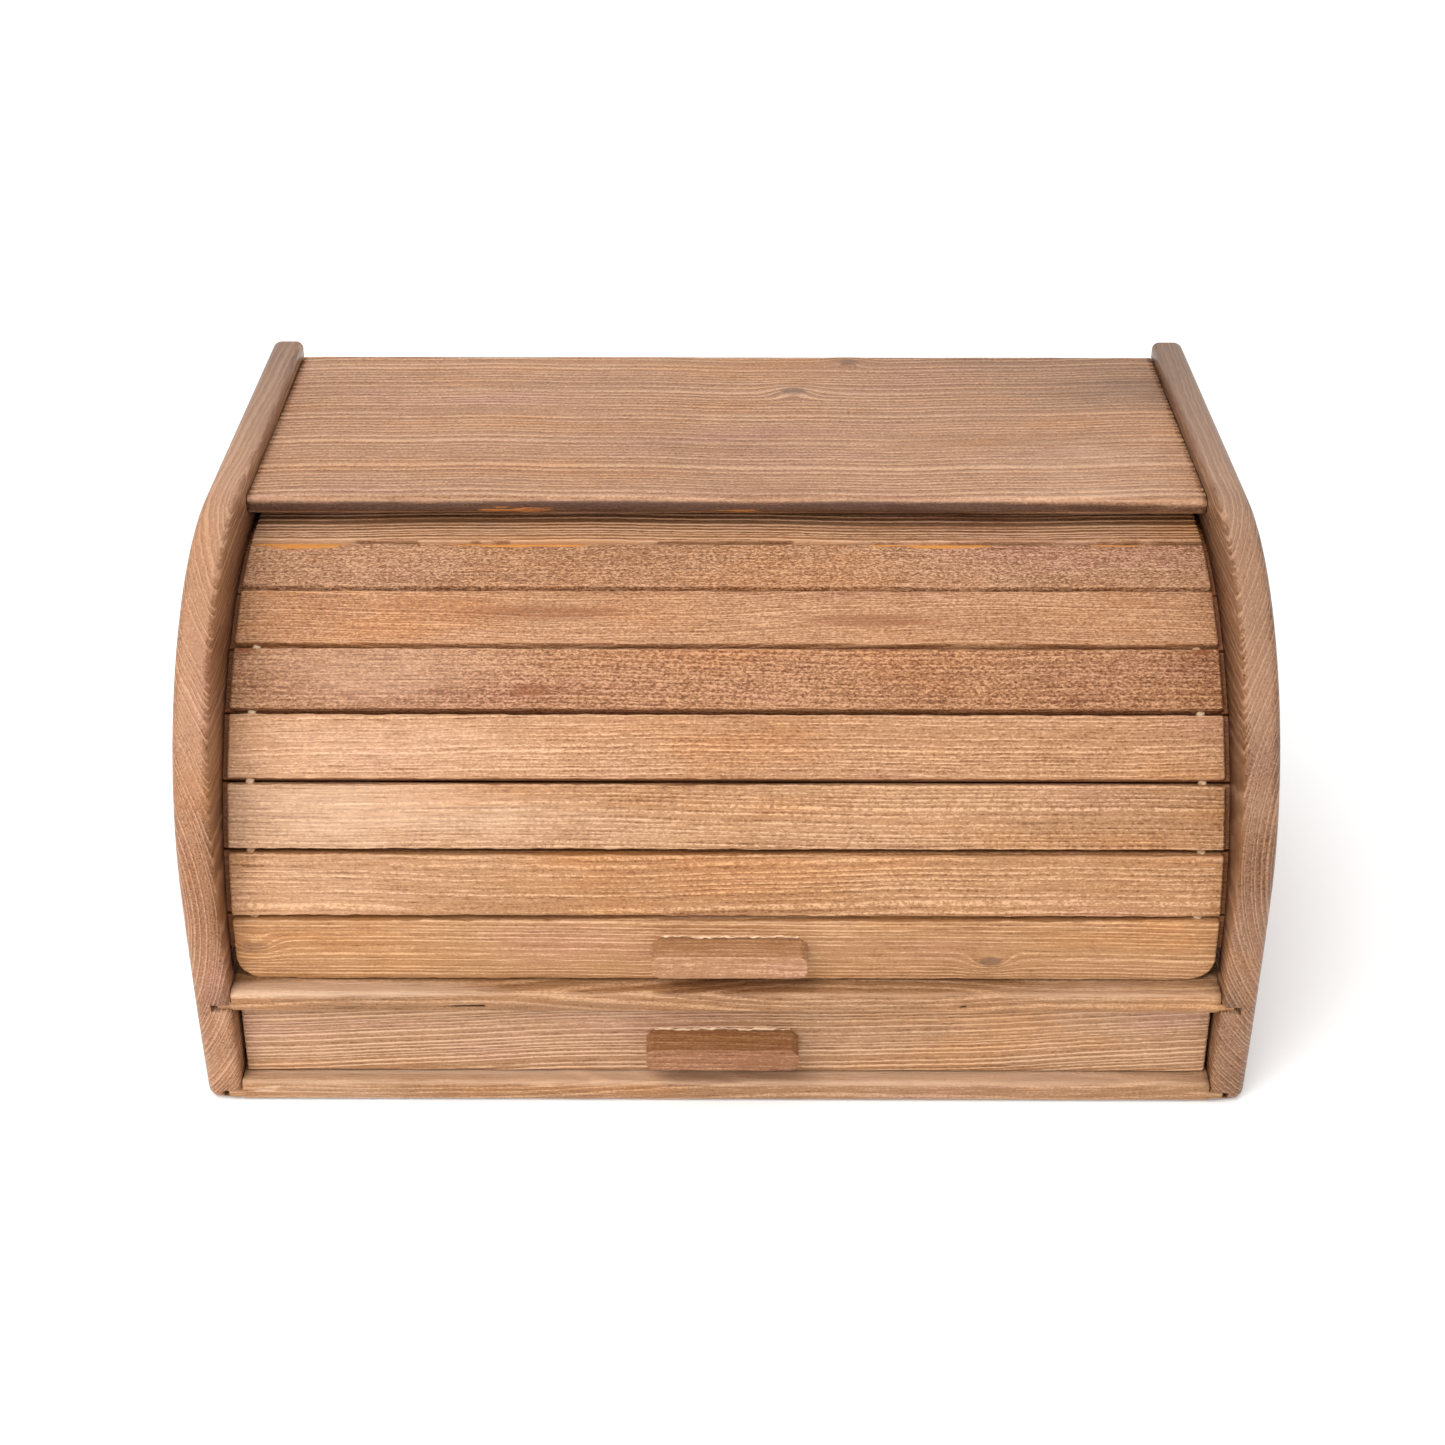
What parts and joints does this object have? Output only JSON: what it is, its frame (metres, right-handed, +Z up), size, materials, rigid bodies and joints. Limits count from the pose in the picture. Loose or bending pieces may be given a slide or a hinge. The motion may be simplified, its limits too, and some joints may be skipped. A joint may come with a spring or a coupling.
{
  "type": "roll-top bread box",
  "caption": "Wooden bread box: a tambour lid of slats rolls back on curved tracks over a bread compartment, with a pull-out drawer under the shelf.",
  "frame": {"origin": "middle of the base of the whole box, handles included, on the surface it stands on", "axes": "+X to the right seen from the front, +Y to the back, +Z up; the lid and the drawer face -Y"},
  "size_m": [0.4, 0.2734, 0.209],
  "materials": {
    "side_wood": "stained and waxed pine, grain front to back",
    "board_wood": "stained and brushed pine, grain left to right",
    "slat_wood": "stained and brushed pine slats",
    "handle_wood": "stained pine, sanded smooth",
    "drawer_wood": "stained and brushed pine",
    "plywood": "plain thin plywood",
    "cord": "twisted cotton cord",
    "screw_brass": "zinc-plated wood screws",
    "nail_steel": "plain steel brads"
  },
  "bodies": {
    "case": {"back_panel": "plywood", "back_panel_nails": "nail_steel", "bottom_board": "board_wood", "shelf_board": "board_wood", "side_nails_left": "nail_steel", "side_nails_right": "nail_steel", "side_panel_left": "side_wood", "side_panel_right": "side_wood", "top_board": "board_wood"},
    "roll_top": {"lead_slat": "slat_wood", "slat_2": "slat_wood", "slat_3": "slat_wood", "slat_4": "slat_wood", "slat_5": "slat_wood", "slat_6": "slat_wood", "slat_7": "slat_wood", "slat_8": "slat_wood", "slat_9": "slat_wood", "cord_left": "cord", "cord_right": "cord", "lid_handle": "handle_wood", "lid_handle_screws": "screw_brass"},
    "drawer": {"drawer_back": "drawer_wood", "drawer_bottom": "plywood", "drawer_front": "drawer_wood", "drawer_handle": "handle_wood", "drawer_handle_screws": "screw_brass", "drawer_nails": "nail_steel", "drawer_side_left": "drawer_wood", "drawer_side_right": "drawer_wood"}
  },
  "joints": [
    {"name": "roll_top_turn", "type": "hinge", "parent": "case", "child": "roll_top", "pos_m": [0, 0.00075, 0.0645], "axis": [-1, 0, 0], "range_deg": [0, 80]},
    {"name": "drawer_slide", "type": "slide", "parent": "case", "child": "drawer", "axis": [0, -1, 0], "range_m": [0, 0.19]}
  ]
}
